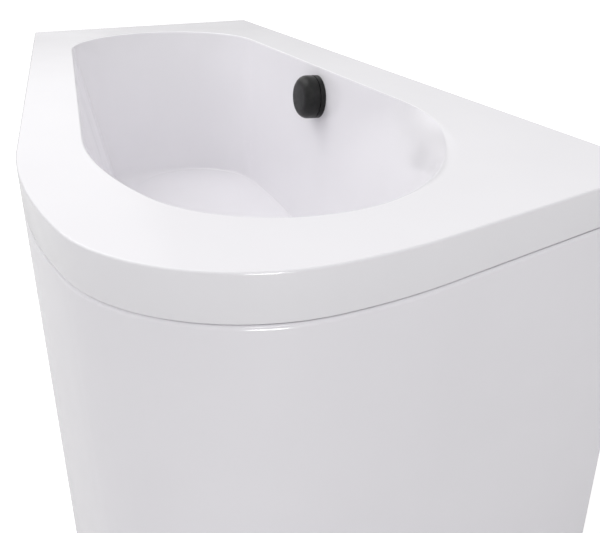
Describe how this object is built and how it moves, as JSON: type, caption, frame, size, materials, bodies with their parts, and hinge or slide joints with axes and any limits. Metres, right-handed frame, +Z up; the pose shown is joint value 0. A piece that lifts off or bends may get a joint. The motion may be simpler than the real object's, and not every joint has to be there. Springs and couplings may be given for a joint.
{
  "type": "asymmetric bathtub",
  "caption": "Asymmetric bathtub with an egg-shaped basin, a wide flat rim, a wrap-round apron, levelling feet and a pop-up waste worked by an overflow knob.",
  "frame": {"origin": "on the floor under the middle of the tub's bounding box", "axes": "+X along the tub to the rounded head end, +Y to the wall side, +Z up"},
  "size_m": [1.5, 0.7, 0.59],
  "materials": {
    "white_acrylic": "gloss white acrylic",
    "white_panel": "gloss white acrylic",
    "black_control": "satin black",
    "bonded_board": "resin-sealed chipboard",
    "galvanised_steel": "galvanised",
    "zinc_fasteners": "zinc plated",
    "black_foot": "moulded",
    "grey_fitting": "moulded",
    "white_pipe": "extruded",
    "pipe_nut": "moulded",
    "black_rubber": "moulded",
    "chrome_waste": "polished"
  },
  "bodies": {
    "tub": {"tub_shell": "white_acrylic", "apron_panel": "white_panel", "overflow_ring": "black_control", "base_board": "bonded_board", "front_rim_batten": "bonded_board", "end_rim_batten": "bonded_board", "foot_rail": "galvanised_steel", "head_rail": "galvanised_steel", "panel_clips": "galvanised_steel", "panel_stays": "galvanised_steel", "rail_screws": "zinc_fasteners", "clip_screws": "zinc_fasteners", "stay_screws": "zinc_fasteners", "lock_nuts": "zinc_fasteners", "lever_pin": "zinc_fasteners", "overflow_body": "grey_fitting", "waste_body": "grey_fitting", "overflow_pipe": "white_pipe", "pipe_elbow": "white_pipe", "cross_pipe": "white_pipe", "trap_bend": "white_pipe", "outlet_elbow": "white_pipe", "pipe_slip_nuts": "pipe_nut", "trap_slip_nuts": "pipe_nut", "overflow_gasket": "black_rubber", "flange_gasket": "black_rubber", "body_gasket": "black_rubber", "waste_flange": "chrome_waste"},
    "knob": {"overflow_knob": "black_control", "knob_carrier": "grey_fitting", "knob_spindle": "zinc_fasteners", "cable_drum": "grey_fitting"},
    "plug": {"plug_cap": "chrome_waste", "plug_seal": "black_rubber", "plug_stem": "chrome_waste"},
    "lever": {"lift_lever": "grey_fitting"},
    "foot_front_leg": {"foot_front_stud": "zinc_fasteners", "foot_front_pad": "black_foot"},
    "foot_wall_leg": {"foot_wall_stud": "zinc_fasteners", "foot_wall_pad": "black_foot"},
    "head_front_leg": {"head_front_stud": "zinc_fasteners", "head_front_pad": "black_foot"},
    "head_wall_leg": {"head_wall_stud": "zinc_fasteners", "head_wall_pad": "black_foot"}
  },
  "joints": [
    {"name": "knob_turn", "type": "hinge", "parent": "tub", "child": "knob", "pos_m": [-0.06405, 0.24372, 0.533], "axis": [0, -0.9983, 0.0575], "range_deg": [0, 90]},
    {"name": "plug_lift", "type": "slide", "parent": "tub", "child": "plug", "axis": [0, 0, 1], "range_m": [0, 0.0086]},
    {"name": "lever_lift", "type": "hinge", "parent": "tub", "child": "lever", "pos_m": [-0.08605, 0.06, 0.2192], "axis": [0, -1, 0], "range_deg": [0, 20]},
    {"name": "foot_front_levelling", "type": "slide", "parent": "tub", "child": "foot_front_leg", "axis": [0, 0, 1], "range_m": [-0.01, 0.012]},
    {"name": "foot_wall_levelling", "type": "slide", "parent": "tub", "child": "foot_wall_leg", "axis": [0, 0, 1], "range_m": [-0.01, 0.012]},
    {"name": "head_front_levelling", "type": "slide", "parent": "tub", "child": "head_front_leg", "axis": [0, 0, 1], "range_m": [-0.01, 0.012]},
    {"name": "head_wall_levelling", "type": "slide", "parent": "tub", "child": "head_wall_leg", "axis": [0, 0, 1], "range_m": [-0.01, 0.012]}
  ],
  "couplings": [
    {"joint": "plug_lift", "follows": "knob_turn", "m_per_rad": 0.00547},
    {"joint": "lever_lift", "follows": "knob_turn", "ratio": 0.2222}
  ]
}
